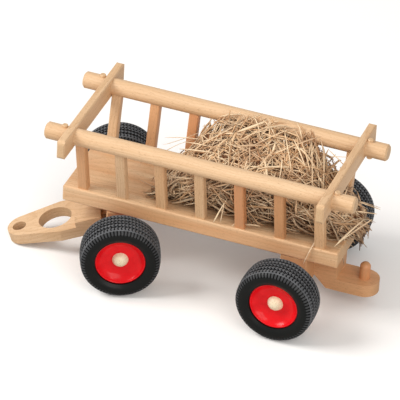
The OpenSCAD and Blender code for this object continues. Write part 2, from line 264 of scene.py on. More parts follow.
@dataclass(frozen=True)
class Beech:
    """Oiled beech: pale wood with fine rings, short brown flecks and darker end grain."""

    tone: Tone = Tone.NATURAL
    ring: Colour = (0.50, 0.270, 0.115)
    fleck: Colour = (0.30, 0.140, 0.055)
    ring_pitch: float = 2.6 * MM
    ring_share: float = 0.36
    fleck_share: float = 0.52
    roughness: float = 0.46
    pith: tuple[float, float] = (0.012, -0.055)
    slow_bend: float = 0.022
    fine_bend: float = 0.0016

    def material(self, name: str, grain: Grain) -> bpy.types.Material:
        """Builds the wood for one piece.

        The rings are circles round a far pith line along the grain, bent by slow noise, and the flecks are
        noise drawn out along the grain. Faces across the grain take the end colour.

        Args:
            name: the material's name.
            grain: the piece's place in the plank.

        Returns:
            The material.
        """
        tree = Tree(name)
        place = tree.place(grain.centre, grain.turn)
        rng = np.random.default_rng(900 + grain.seed)
        shift = Vector(rng.uniform(-3.0, 3.0, 3))
        own = tree.add("VectorMath", {0: place, 1: shift}, operation="ADD").outputs[0]
        along = tree.add("SeparateXYZ", {0: place})
        drift_a = tree.times(tree.minus(tree.noise(own, (9, 16, 16), 2.0), 0.5), self.slow_bend)
        drift_b = tree.times(tree.minus(tree.noise(own, (60, 260, 260), 2.0), 0.5), self.fine_bend)
        pith_y = self.pith[0] + float(rng.uniform(-0.018, 0.018))
        pith_z = self.pith[1] * float(rng.uniform(0.8, 1.3))
        y = tree.plus(along.outputs["Y"], pith_y)
        z = tree.plus(along.outputs["Z"], pith_z)
        reach = tree.math("SQRT", tree.plus(tree.times(y, y), tree.times(z, z)))
        reach = tree.plus(tree.plus(reach, drift_a), drift_b)
        turns = tree.math("FRACT", tree.math("DIVIDE", reach, self.ring_pitch))
        late = tree.math("POWER", turns, 3.0)
        edge = tree.step(turns, 1.0, 0.93)
        late = tree.times(late, edge)
        broad = tree.step(tree.noise(own, (5, 55, 55), 3.0), 0.3, 0.72)
        streak = tree.noise(own, (26, 900, 900), 3.0, 0.6)
        flecks = tree.step(tree.noise(own, (330, 2300, 2300), 1.0), 0.615, 0.70)
        pores = tree.noise(own, (500, 4200, 4200), 2.0, 0.7)
        normal = tree.place((0.0, 0.0, 0.0), grain.turn, "Normal")
        face_x = tree.math("ABSOLUTE", tree.add("SeparateXYZ", {0: normal}).outputs["X"])
        end = tree.step(face_x, 0.55, 0.92)
        side = tree.minus(1.0, end)
        light, warm, cut = self.tone.value
        colour = tree.mix(broad, light, warm)
        colour = tree.mix(tree.times(late, self.ring_share), colour, self.ring)
        colour = tree.mix(tree.times(tree.step(streak, 0.45, 0.8), 0.36), colour, self.ring)
        fleck_mask = tree.times(tree.times(flecks, side), self.fleck_share)
        colour = tree.mix(fleck_mask, colour, self.fleck)
        speck = tree.plus(0.55, tree.times(tree.noise(own, (2600, 2600, 2600), 1.0), 0.5))
        colour = tree.mix(tree.times(end, speck), colour, cut)
        dots = tree.times(tree.step(tree.noise(own, (1000, 1000, 1000), 2.0), 0.52, 0.62), end)
        colour = tree.mix(tree.times(dots, 0.45), colour, self.ring)
        rough = tree.plus(self.roughness - 0.06, tree.times(pores, 0.16))
        tree.set(Base_Color=colour, Roughness=rough, IOR=1.5, Coat_Weight=0.08, Coat_Roughness=0.32)
        height = tree.plus(tree.times(pores, 0.6), tree.times(streak, 0.7))
        height = tree.minus(height, tree.times(flecks, 0.25))
        tree.bump(height, 0.30, 0.12 * MM)
        return tree.material


@dataclass(frozen=True)
class RedPlastic:
    """Glossy moulded plastic with faint flow marks and fine handling scratches."""

    light: Colour = (0.79, 0.011, 0.016)
    deep: Colour = (0.70, 0.007, 0.012)
    roughness: float = 0.20

    def material(self, name: str, centre: Triple, turn: float) -> bpy.types.Material:
        """Builds the plastic for one rim.

        Args:
            name: the material's name.
            centre: the wheel's middle.
            turn: the axle's turn about z from the y axis, in radians.

        Returns:
            The material.
        """
        tree = Tree(name)
        place = tree.place(centre, (0.0, 0.0, turn))
        flow = tree.step(tree.noise(place, (110, 40, 110), 3.0), 0.35, 0.7)
        fine = tree.noise(place, (2400, 2400, 2400), 2.0)
        scratch = tree.step(tree.noise(place, (90, 400, 2600), 2.0, 0.7), 0.60, 0.72)
        rough = tree.plus(self.roughness - 0.05, tree.times(flow, 0.07))
        rough = tree.plus(rough, tree.times(scratch, 0.10))
        tree.set(Base_Color=tree.mix(flow, self.light, self.deep), Roughness=rough, IOR=1.5,
                 Specular_IOR_Level=0.20)
        tree.bump(tree.plus(tree.times(fine, 0.5), flow), 0.12, 0.08 * MM)
        return tree.material


@dataclass(frozen=True)
class Rubber:
    """Black rubber: matt grey where the tread is worn, deep black on the walls, and blacker still in the
    grooves with painted shade.
    """

    # Painted shade: the grooves are unworn rubber, painted darker than the walls' own black.
    groove: Colour = (0.0016, 0.0018, 0.0020)
    wall: Colour = (0.0045, 0.0055, 0.0052)
    worn: Colour = (0.160, 0.166, 0.180)

    def material(self, name: str, centre: Triple) -> bpy.types.Material:
        """Builds the rubber for one tyre, whose mesh carries the attributes relief and tread.

        Args:
            name: the material's name.
            centre: the wheel's middle.

        Returns:
            The material.
        """
        tree = Tree(name)
        place = tree.place(centre)
        relief = tree.add("Attribute", attribute_name="relief").outputs["Fac"]
        tread = tree.add("Attribute", attribute_name="tread").outputs["Fac"]
        cloud = tree.step(tree.noise(place, (95, 95, 95), 4.0, 0.6), 0.30, 0.75)
        grit = tree.noise(place, (1700, 1700, 1700), 3.0, 0.6)
        dust = tree.times(tree.step(grit, 0.52, 0.75), 0.35)
        wear = tree.times(tree.plus(0.50, tree.times(cloud, 0.30)), tread)
        wear = tree.plus(wear, tree.times(dust, tread), True)
        colour = tree.mix(wear, self.wall, self.worn)
        # Painted shade in the grooves: the deeper the relief, the nearer the colour comes to the groove
        # colour.
        colour = tree.mix(tree.step(relief, 0.95, 0.40), colour, self.groove)
        rough = tree.plus(0.30, tree.times(tread, 0.22))
        rough = tree.plus(rough, tree.times(grit, 0.14))
        tree.set(Base_Color=colour, Roughness=rough, IOR=1.5, Specular_IOR_Level=0.22)
        tree.bump(tree.plus(grit, tree.times(cloud, 0.5)), 0.25, 0.10 * MM)
        return tree.material


@dataclass(frozen=True)
class Steel:
    """Drawn steel rod with lengthwise marks."""

    colour: Colour = (0.50, 0.49, 0.47)
    stain: Colour = (0.34, 0.31, 0.28)

    def material(self, name: str, centre: Triple, turn: float) -> bpy.types.Material:
        """Builds the steel for one axle that lies along the turned y axis.

        Args:
            name: the material's name.
            centre: the axle's middle.
            turn: the axle's turn about z, in radians.

        Returns:
            The material.
        """
        tree = Tree(name)
        place = tree.place(centre, (0.0, 0.0, turn))
        drawn = tree.noise(place, (2600, 45, 2600), 3.0)
        stain = tree.step(tree.noise(place, (160, 60, 160), 4.0), 0.45, 0.8)
        rough = tree.plus(0.22, tree.times(drawn, 0.22))
        tree.set(Base_Color=tree.mix(stain, self.colour, self.stain), Metallic=1.0, Roughness=rough)
        tree.bump(drawn, 0.2, 0.05 * MM)
        return tree.material


@dataclass(frozen=True)
class Straw:
    """Dried grass: pale gold straws, some browner, with shade painted on those deep in the heap."""

    pale: Colour = (0.95, 0.745, 0.500)
    gold: Colour = (0.75, 0.480, 0.260)
    brown: Colour = (0.33, 0.140, 0.056)
    # The colour of the painted shade, on straws deep in the heap and on the heap's inside.
    deep: Colour = (0.072, 0.025, 0.010)

    def material(self, name: str) -> bpy.types.Material:
        """Builds the finish for straws whose meshes carry the attributes tone and deep and a UV map; deep is
        the share of painted shade.

        The UV map has u round the straw, in corners, and v along it, in millimetres.

        Args:
            name: the material's name.

        Returns:
            The material.
        """
        tree = Tree(name)
        uv = tree.add("UVMap", uv_map="straw").outputs[0]
        tone = tree.add("Attribute", attribute_name="tone").outputs["Fac"]
        deep = tree.add("Attribute", attribute_name="deep").outputs["Fac"]
        fibre = tree.noise(uv, (3.0, 0.12, 1.0), 3.0, 0.65)
        coords = tree.add("TexCoord").outputs["Object"]
        blotch = tree.noise(coords, (150, 150, 150), 3.0)
        shade = tree.plus(tone, tree.times(tree.minus(blotch, 0.5), 0.45))
        colour = tree.mix(tree.step(shade, 0.15, 0.65), self.pale, self.gold)
        colour = tree.mix(tree.step(shade, 0.62, 1.05), colour, self.brown)
        colour = tree.mix(tree.times(tree.step(fibre, 0.42, 0.72), 0.30), colour, self.brown)
        patch = tree.noise(coords, (34, 34, 34), 2.0)
        colour = tree.mix(tree.times(tree.step(patch, 0.46, 0.64), 0.42), colour, self.brown)
        # Painted shade: the deep attribute mixes in the near-black deep colour.
        colour = tree.mix(deep, colour, self.deep)
        tree.set(Base_Color=colour, Roughness=tree.plus(0.42, tree.times(fibre, 0.25)),
                 IOR=1.45)
        tree.bump(fibre, 0.35, 0.12 * MM)
        return tree.material

    def core(self, name: str) -> bpy.types.Material:
        """Builds the heap's matted inside: painted shade in the near-black deep colour, streaked brown by
        noise drawn out in three directions.

        Args:
            name: the material's name.

        Returns:
            The material.
        """
        tree = Tree(name)
        coords = tree.add("TexCoord").outputs["Object"]
        coats = []
        for number, turn in enumerate(((0.3, 0.2, 0.4), (0.1, -0.4, 1.6), (-0.3, 0.3, 2.6))):
            laid = tree.add("Mapping", {"Vector": coords, "Rotation": turn}).outputs[0]
            coats.append(tree.step(tree.noise(laid, (70, 800, 800), 3.0, 0.6), 0.50, 0.68 + 0.02 * number))
        most = tree.math("MAXIMUM", tree.math("MAXIMUM", coats[0], coats[1]), coats[2])
        # Painted shade: the inside is mostly the deep colour, with brown where the noise peaks.
        tree.set(Base_Color=tree.mix(most, self.deep, self.brown), Roughness=0.85)
        tree.bump(most, 0.6, 0.8 * MM)
        return tree.material


# ---------------------------------------------------------------- meshes


def put_object(name: str, data: bpy.types.ID) -> bpy.types.Object:
    """Puts a mesh, lamp or camera into the scene.

    Args:
        name: the object's name.
        data: the object's data.

    Returns:
        The object.
    """
    thing = bpy.data.objects.new(name, data)
    bpy.context.scene.collection.objects.link(thing)
    return thing


def put_mesh(name: str, points: np.ndarray, faces: np.ndarray, smooth: bool = True) -> bpy.types.Object:
    """Puts whole arrays of points and faces into a new object at the origin.

    Args:
        name: the object's name.
        points: the points, one row each, in metres.
        faces: the faces, one row of point numbers each.
        smooth: whether the faces shade smoothly.

    Returns:
        The object.
    """
    mesh = bpy.data.meshes.new(name)
    count, corners = faces.shape
    mesh.vertices.add(len(points))
    mesh.vertices.foreach_set("co", np.ascontiguousarray(points, np.float32).ravel())
    mesh.loops.add(count * corners)
    mesh.loops.foreach_set("vertex_index", np.ascontiguousarray(faces, np.int32).ravel())
    mesh.polygons.add(count)
    mesh.polygons.foreach_set("loop_start", np.arange(0, count * corners, corners, dtype=np.int32))
    mesh.polygons.foreach_set("use_smooth", np.full(count, smooth))
    mesh.update(calc_edges=True)
    mesh.validate()
    return put_object(name, mesh)


def put_attribute(piece: bpy.types.Object, name: str, values: np.ndarray) -> None:
    """Stores one number for each point of a piece.

    Args:
        piece: the piece.
        name: the attribute's name.
        values: one value for each point.
    """
    layer = piece.data.attributes.new(name, "FLOAT", "POINT")
    layer.data.foreach_set("value", np.ascontiguousarray(values, np.float32).ravel())


def grid_faces(rows: int, columns: int, wrap_rows: bool, wrap_columns: bool) -> np.ndarray:
    """Four-cornered faces of a grid whose points are numbered row by row.

    Args:
        rows: the number of rows.
        columns: the number of columns.
        wrap_rows: whether the last row meets the first.
        wrap_columns: whether the last column meets the first.

    Returns:
        One row of four point numbers for each face.
    """
    i = np.arange(rows if wrap_rows else rows - 1)[:, None]
    j = np.arange(columns if wrap_columns else columns - 1)[None, :]
    here, ahead = i * columns, (i + 1) % rows * columns
    j2 = (j + 1) % columns
    return np.stack([here + j, ahead + j, ahead + j2, here + j2], -1).reshape(-1, 4)


def dress(piece: bpy.types.Object, material: bpy.types.Material) -> None:
    """Gives a piece one material for all its faces.

    Args:
        piece: the piece.
        material: the material.
    """
    for material_slot in piece.material_slots:
        material_slot.material = material
    if not piece.material_slots:
        piece.data.materials.append(material)


def centre_of(node: str) -> Triple:
    """Returns the middle of a CAD node's box."""
    low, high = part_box(node)
    return tuple((low + high) / 2)


def joint(name: str) -> dict:
    """Returns the record's joint of that name."""
    return next(j for j in frame["joints"] if j["name"] == name)


# ---------------------------------------------------------------- wooden parts


@dataclass
class Woodwork:
    """The wagon's beech pieces, which keep their CAD shapes and get their grain.

    The lean is the racks' from upright and the droop is the drawbar's from level, both in radians.
    """

    lean: float = float(np.radians(11.75))
    droop: float = float(np.radians(17.506))
    dressed: int = 0

    def wood(self, node: str, slot: Slot, tone: Tone, turn: Triple) -> None:
        """Dresses one CAD node in wood of its own.

        Args:
            node: the node's name.
            slot: whether it is sawn board or turned dowel.
            tone: the wood's tone.
            turn: the turn that lays the grain along x, in radians.
        """
        self.dressed += 1
        turned = slot is Slot.DOWEL
        finish = Beech(tone, ring_share=0.30 if turned else 0.46, fleck_share=0.40 if turned else 0.52)
        grain = Grain(centre_of(node), turn, self.dressed)
        dress(frame["nodes"][node], finish.material("beech_" + node, grain))
        LOG.info("%s dressed as %s %s", node, tone.name, slot.value)

    def steer(self) -> float:
        """Returns the front truck's turn about z from the lift joint's axis."""
        axis = joint("drawbar_lift")["axis"]
        return float(np.arctan2(axis[0], -axis[1]))

    def dress_bed(self) -> None:
        """The bed and the rear hitch, with the grain along the wagon, and the upright pins."""
        upright = (0.0, QUARTER, 0.0)
        self.wood("bed", Slot.BOARD, Tone.MOTTLED, (0.0, 0.0, 0.0))
        self.wood("hitch_block", Slot.BOARD, Tone.WARM, (0.0, 0.0, 0.0))
        self.wood("hitch_peg", Slot.DOWEL, Tone.ROSY, upright)
        self.wood("kingpin", Slot.DOWEL, Tone.PALE, upright)

    def dress_blocks(self) -> None:
        """The axle blocks, with the grain along their axles, and the domed caps."""
        self.wood("rear_axle_block", Slot.BOARD, Tone.WARM, (0.0, 0.0, QUARTER))
        self.wood("front_axle_block", Slot.BOARD, Tone.WARM, (0.0, 0.0, QUARTER + self.steer()))
        for node in ("rear_left_wheel_cap", "rear_right_wheel_cap"):
            self.wood(node, Slot.DOWEL, Tone.SAPWOOD, (0.0, 0.0, QUARTER))
        for node in ("front_left_wheel_cap", "front_right_wheel_cap"):
            self.wood(node, Slot.DOWEL, Tone.SAPWOOD, (0.0, 0.0, QUARTER + self.steer()))

    def dress_drawbar(self) -> None:
        """The drawbar, with the grain along it."""
        self.wood("drawbar", Slot.BOARD, Tone.PALE, (0.0, self.droop, self.steer()))

    def dress_racks(self) -> None:
        """Poles along the wagon, crossbars across it, and the leaning stakes and their pegs."""
        tones = {"left_stake_1": Tone.WARM, "left_stake_2": Tone.PALE, "left_stake_4": Tone.PALE,
                 "left_stake_5": Tone.ROSY, "left_stake_6": Tone.WARM, "right_stake_1": Tone.PALE,
                 "right_stake_2": Tone.WARM, "right_stake_3": Tone.ROSY, "right_stake_6": Tone.WARM}
        for node in ("left_pole", "right_pole"):
            self.wood(node, Slot.DOWEL, Tone.PALE, (0.0, 0.0, 0.0))
        for node in ("front_crossbar", "rear_crossbar"):
            self.wood(node, Slot.BOARD, Tone.PALE, (0.0, 0.0, QUARTER))
        for node in sorted(frame["nodes"]):
            if "stake" in node:
                side = Side.LEFT if node.startswith("left") else Side.RIGHT
                turn = Matrix.Rotation(-side.value * self.lean, 3, "X") @ Matrix.Rotation(QUARTER, 3, "Y")
                self.wood(node, Slot.BOARD, tones.get(node, Tone.NATURAL), tuple(turn.to_euler()))
            elif node.endswith("pole_peg"):
                self.wood(node, Slot.DOWEL, Tone.PALE, (0.0, QUARTER, 0.0))

    def build(self) -> None:
        """Dresses all the wooden pieces."""
        self.dress_bed()
        self.dress_blocks()
        self.dress_drawbar()
        self.dress_racks()


# ---------------------------------------------------------------- wheels


@dataclass
class Wheel:
    """One wheel: a moulded tyre with zig-zag tread on a dished rim, in millimetres.

    The tyre has its radius, width, seat, round shoulder and bead, the drop of its crown from the middle
    to the edge, and its tread's lugs and groove depth. The rim has its bore, its hub sleeve's radius, the
    place of its middle plane, its hub's face, the foot, span and rise of its dish, its seat under the
    tyre, the middle of its rolled lip and the end of its hub sleeve.
    """

    corner: str
    tyre_r: float = 35.0
    tyre_w: float = 30.0
    seat_r: float = 22.0
    shoulder: float = 7.0
    bead_y: float = 12.7
    crown_half: float = 11.2
    crown_drop: float = 0.75
    lugs: int = 70
    groove: float = 1.1
    bore_r: float = 2.56
    sleeve_r: float = 7.5
    rim_middle: float = 73.0
    hub_y: float = 79.0
    dish_foot: tuple[float, float] = (11.0, 78.5)
    dish_span: float = 9.2
    dish_rise: float = 4.9
    dish_power: float = 2.4
    rim_seat_r: float = 21.9
    lip_y: float = 83.6
    inner_lip_y: float = 62.2
    web_back_y: float = 75.5
    sleeve_end_y: float = 37.4
    rim_steps: int = 128

    def __post_init__(self) -> None:
        """Takes the wheel's middle and axle from its joint and its tyre's box."""
        axis = joint(self.corner + "_spin")["axis"]
        self.side = Side.LEFT if "left" in self.corner else Side.RIGHT
        self.out = np.array(axis, float) * self.side.value
        self.centre = np.array(centre_of(self.corner + "_tyre"), float)
        self.turn = float(np.arctan2(-axis[0], axis[1]))

    def place(self, radius: np.ndarray, out: np.ndarray, angle: np.ndarray) -> np.ndarray:
        """Turns wheel coordinates into the wagon's frame.

        A point is the middle, plus out times the outward axle direction, plus radius times the direction
        at that angle round the axle, from the wheel's forward direction up.

        Args:
            radius: distances from the axle, in millimetres.
            out: distances outward from the tyre's middle plane, in millimetres.
            angle: angles round the axle, in radians.

        Returns:
            The points in metres, one row each.
        """
        ahead = np.cross(self.out, (0.0, 0.0, 1.0))
        up = np.array((0.0, 0.0, 1.0))
        spoke = np.cos(angle)[..., None] * ahead + np.sin(angle)[..., None] * up
        points = self.centre + MM * (out[..., None] * self.out + radius[..., None] * spoke)
        return points.reshape(-1, 3)

    def tyre_section(self) -> tuple[np.ndarray, np.ndarray, np.ndarray]:
        """The tyre's outline from the inner bead over the tread to the outer bead.

        The outline is a crown that falls by a parabola, a narrow edge rib, round shoulders, flat walls
        and slanting beads.

        Returns:
            The radius and the distance out of each point, and the share of the groove's depth that the
            long grooves round the crown have there.
        """
        crown = np.array([0.0, 0.9, 1.5, 1.9, 2.7, 3.1, 4.0, 4.8, 5.7, 6.1, 6.5, 7.3, 7.7, 8.6, 9.6, 10.6,
                          self.crown_half])
        long_grooves = np.isin(crown, (1.9, 2.7, 6.5, 7.3)).astype(float)
        half, s = self.tyre_w / 2, self.shoulder
        arc = np.radians([33.0, 36.0, 38.5, 46.0, 54.0, 62.0, 68.0, 71.5, 80.0, 90.0])
        fall = self.crown_drop * (crown / self.crown_half) ** 2
        radius = np.concatenate([self.tyre_r - fall, self.tyre_r - s + s * np.cos(arc),
                                 [27.0, 26.0, 24.1, self.seat_r]])
        out = np.concatenate([crown, half - s + s * np.sin(arc), [half, half, 13.9, self.bead_y]])
        round_mask = np.concatenate([long_grooves, np.zeros(len(arc) + 4)])
        return (np.concatenate([radius[:0:-1], radius]), np.concatenate([-out[:0:-1], out]),
                np.concatenate([round_mask[:0:-1], round_mask]))

    def tyre_mesh(self) -> bpy.types.Object:
        """The tyre as a grid of angle and outline, pressed in at the grooves.

        Each lug has six columns of points, and the columns follow the zig-zag: the angle is the lug's
        place plus a triangle wave of the distance from the crown's middle. The rows wave too, by a cosine
        of the angle, so the long grooves are wavy. The depth is the groove depth times the larger of two
        masks, one for the gap between two lugs and one for the long grooves. The shoulder's short radial
        bars stand between notches of the same gap, and a smooth rib parts them from the crown. The
        depth is taken off the radius on the crown and off the width on the shoulders.

        Returns:
            The tyre.
        """
        radius, out, round_mask = self.tyre_section()
        share = np.array([0.0, 0.08, 0.37, 0.46, 0.70, 0.92])
        gap = np.array([0.0, 1.0, 1.0, 0.0, 0.0, 0.0])
        pitch = 2 * np.pi / self.lugs
        lug_angle = (np.arange(self.lugs)[:, None] + share[None, :]).ravel() * pitch
        gap_mask = np.tile(gap, self.lugs)[:, None]
        reach = np.abs(out)
        on_crown = np.clip((11.1 - reach) / 0.6, 0.0, 1.0)[None, :]
        wave = 1.0 - np.abs((reach / 2.3) % 2.0 - 1.0)
        zigzag = wave[None, :] * on_crown * pitch * 0.85
        bars = ((reach > 12.1) & (radius > 30.4)).astype(float)[None, :]
        depth = self.groove * np.maximum(on_crown * np.maximum(gap_mask, round_mask[None, :]),
                                         0.85 * bars * gap_mask)
        angle = lug_angle[:, None] + zigzag
        lean = np.clip((reach - 8.0) / self.shoulder, 0.0, 1.0)[None, :]
        ripple = 0.40 * np.cos(lug_angle * self.lugs)[:, None] * np.clip((9.5 - reach) / 2.0, 0.0, 1.0)
        deep_r = radius[None, :] - depth * np.sqrt(1.0 - lean**2 * 0.95)
        deep_y = out[None, :] + ripple * np.sign(out)[None, :] - depth * lean * np.sign(out)[None, :]
        columns = len(lug_angle)
        under_y = np.tile(np.array([0.5, 0.0, -0.5]) * self.bead_y, (columns, 1))
        full_r = np.concatenate([deep_r, np.full((columns, 3), self.seat_r)], 1)
        full_y = np.concatenate([deep_y, under_y], 1)
        full_a = np.concatenate([angle, np.repeat(lug_angle[:, None], 3, 1)], 1)
        # Both orders of the corners face outward, and each side splits its faces its own way.
        order = [0, 3, 2, 1] if self.side is Side.LEFT else [3, 2, 1, 0]
        faces = grid_faces(columns, full_r.shape[1], True, True)[:, order]
        piece = put_mesh(self.corner + "_moulded_tyre", self.place(full_r, full_y, full_a), faces)
        piece.data.set_sharp_from_angle(angle=float(np.radians(38)))
        under = np.zeros((columns, 3))
        relief = 1.0 - np.clip(depth / self.groove, 0, 1)
        worn = np.where(reach < 12.0, 1.0, np.clip(radius - 30.2, 0, 1) * 0.38)
        put_attribute(piece, "relief", np.concatenate([relief, under + 1.0], 1))
        put_attribute(piece, "tread", np.concatenate([np.tile(worn, (columns, 1)), under], 1))
        return piece

    def rim_mesh(self) -> bpy.types.Object:
        """The rim as a closed outline carried round the axle.

        The outline runs from the bore over the hub's face, up the dish, which rises by a power of the
        radius, to the rolled lip, across under the tyre, and back over the inner lip, the web's back and
        the hub sleeve.

        Returns:
            The rim.
        """
        lip = np.radians(np.linspace(150.0, 0.0, 7))
        inner = np.radians(np.linspace(0.0, 180.0, 5))
        dish = np.linspace(0.0, 1.0, 14)
        (foot_r, foot_y), span, rise = self.dish_foot, self.dish_span, self.dish_rise
        seat, sleeve, back = self.rim_seat_r, self.sleeve_r, self.web_back_y
        outline = [(self.bore_r, self.hub_y), (7.0, self.hub_y), (7.4, 78.85), (7.6, foot_y), (9.5, foot_y)]
        outline += [(foot_r + span * t, foot_y + rise * t**self.dish_power) for t in dish]
        outline += [(seat - 0.8 + 0.8 * np.cos(a), self.lip_y + 0.9 * np.sin(a)) for a in lip]
        outline += [(seat, 83.0), (seat, self.rim_middle)]
        outline += [(seat - 1.1 + 1.1 * np.cos(a), self.inner_lip_y - 0.7 * np.sin(a)) for a in inner]
        outline += [(19.7, 63.5), (19.7, back - 0.9), (19.3, back - 0.2), (18.4, back), (8.2, back),
                    (7.6, back - 0.4), (sleeve, back - 1.0), (sleeve, self.sleeve_end_y + 0.5),
                    (7.0, self.sleeve_end_y), (self.bore_r, self.sleeve_end_y)]
        section = np.array(outline)
        around = np.linspace(0, 2 * np.pi, self.rim_steps, endpoint=False)
        angle = np.repeat(around[:, None], len(section), 1)
        radius = np.tile(section[:, 0], (self.rim_steps, 1))
        out = np.tile(section[:, 1] - self.rim_middle, (self.rim_steps, 1))
        faces = grid_faces(self.rim_steps, len(section), True, True)
        piece = put_mesh(self.corner + "_dished_rim", self.place(radius, out, angle), faces)
        piece.data.set_sharp_from_angle(angle=float(np.radians(50)))
        return piece

    def build(self) -> None:
        """Makes and dresses the tyre and the rim, which ride on the wheel's own body."""
        body = self.corner + "_wheel"
        middle = tuple(self.centre)
        tyre = self.tyre_mesh()
        dress(tyre, Rubber().material("rubber_" + self.corner, middle))
        rim = self.rim_mesh()
        dress(rim, RedPlastic().material("red_" + self.corner, middle, self.turn))
        for piece, node, slot in ((tyre, "_tyre", Slot.RUBBER), (rim, "_rim", Slot.RED)):
            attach(piece, body)
            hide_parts(self.corner + node)
            LOG.info("%s made with %d faces", piece.name, len(piece.data.polygons))


@dataclass
class Axles:
    """The two steel axles."""

    steel: Steel = field(default_factory=Steel)

    def build(self) -> None:
        """Dresses both axles along their own directions."""
        for node, spin in (("front_axle", "front_left_spin"), ("rear_axle", "rear_left_spin")):
            axis = joint(spin)["axis"]
            turn = float(np.arctan2(-axis[0], axis[1]))
            dress(frame["nodes"][node], self.steel.material("steel_" + node, centre_of(node), turn))
            LOG.info("%s dressed", node)


# ---------------------------------------------------------------- hay


@dataclass
class Heap:
    """The shape of the hay on the bed, in millimetres, from its sections front to back.

    The sections are at shares of the length from the front, and left and right are the heap's height at
    its two sides there, as shares of its greatest height.
    """

    front: float = 37.9
    back: float = -150.0
    bed_back: float = -138.1
    bed_top: float = 70.5
    height: float = 65.0
    foot: float = 27.5
    lean: float = float(np.tan(np.radians(11.75)))
    widest: float = 36.0
    sag: float = 0.06
    share: tuple[float, ...] = (0, .08, .16, .26, .40, .52, .64, .71, .78, .86, .912, .916, .965, 1.0)
    left: tuple[float, ...] = (.05, .25, .45, .56, .66, .68, .66, .58, .48, .38, .30, .29, .22, .07)
    right: tuple[float, ...] = (.05, .34, .78, .97, 1.0, .97, .95, .80, .57, .36, .29, .28, .19, .06)

    def half(self, rise: np.ndarray, along: np.ndarray) -> np.ndarray:
        """Half the hay's width: the foot's, plus the stakes' lean times the height, less low and behind.

        Low down it tucks in by an exponential of the height, with a sine of the length as its lumps, and
        it narrows in a straight line over the last fifth of the length.

        Args:
            rise: the height above the bed.
            along: the share of the length from the front.

        Returns:
            The half widths.
        """
        tail = np.clip((along - 0.80) / 0.20, 0, 1)
        tuck = 5.5 * np.exp(-rise / 8.0) * (1.0 + 0.6 * np.sin(along * 34.0))
        return np.minimum(self.widest, self.foot + rise * self.lean - tuck) * (1 - 0.50 * tail)

    def top(self, along: np.ndarray, across: np.ndarray) -> np.ndarray:
        """The heap's height above the bed.

        The height runs straight from the right side's to the left side's and sags by a parabola between.

        Args:
            along: the share of the length from the front, 0 to 1.
            across: the share of the half width, -1 right to 1 left.

        Returns:
            The heights.
        """
        left = np.interp(along, self.share, self.left)
        right = np.interp(along, self.share, self.right)
        blend = (1 - across) / 2
        level = left + (right - left) * blend - self.sag * (1 - across**2) * right
        return self.height * np.maximum(0.04, level)

    def point(self, along: np.ndarray, across: np.ndarray, level: np.ndarray) -> np.ndarray:
        """A point of the heap from its share of the length, of the width and of the height.

        Args:
            along: the share of the length from the front.
            across: the share of the half width.
            level: the share of the height at that place.

        Returns:
            The points in millimetres, one row each.
        """
        rise = self.top(along, across) * level
        x = self.front - along * (self.front - self.back)
        return np.stack([x, across * self.half(rise, along), self.bed_top + 0.4 + rise], -1)

    def press(self, points: np.ndarray, loose: np.ndarray) -> np.ndarray:
        """Presses points that stand too far out back towards the heap.

        A point higher than the heap's top there plus its slack comes down to that height, and a point
        further across or along than the heap plus its slack comes in to that distance.

        Args:
            points: straw points in millimetres, straws by rings by 3.
            loose: each straw's slack in millimetres.

        Returns:
            The moved points.
        """
        slack = loose[:, None]
        x = np.clip(points[..., 0], self.back - 0.6 * slack, self.front + 0.8 * slack)
        along = (self.front - x) / (self.front - self.back)
        inside = np.clip(along, 0, 1)
        rise = np.clip(points[..., 2] - self.bed_top, 0, self.height)
        wide = self.half(rise, inside)
        y = np.clip(points[..., 1], -wide - 0.7 * slack, wide + 0.7 * slack)
        crest = self.bed_top + 0.4 + self.top(inside, np.clip(y / wide, -1, 1))
        z = np.minimum(points[..., 2], crest + slack)
        return np.stack([x, y, z], -1)


@dataclass(frozen=True)
class Rack:
    """What the straws keep clear of, in millimetres: the bed, the poles, the stakes and the crossbars."""

    bed_back: float = -138.3
    bed_front: float = 114.0
    bed_half: float = 38.0
    bed_top: float = 70.5
    bed_low: float = 60.0
    pole_y: float = 44.0
    pole_z: float = 128.2
    pole_r: float = 7.5
    stake_x: float = -12.11
    stake_pitch: float = 36.1
    stake_half: float = 4.4
    stake_reach: float = 113.0
    stake_inner: float = 27.9
    stake_h: float = 60.0
    bar_x: tuple[float, float] = (104.59, -128.81)
    bar_half: float = 4.6
    bar_low: float = 118.0
    gap: float = 0.25


@dataclass(frozen=True)
class Layer:
    """One layer of straws: least and greatest depth, length and half width, in millimetres.

    The wander is how far the straws lift out of the surface, and the shade how much painted shade the
    deepest take. The slack is how far every straw may stand out of the heap, and how much more a few may.
    """

    name: str
    count: int
    depth: tuple[float, float]
    length: tuple[float, float]
    width: tuple[float, float]
    wander: float
    shade: float
    slack: tuple[float, float]
    most_slack: float = 8.0


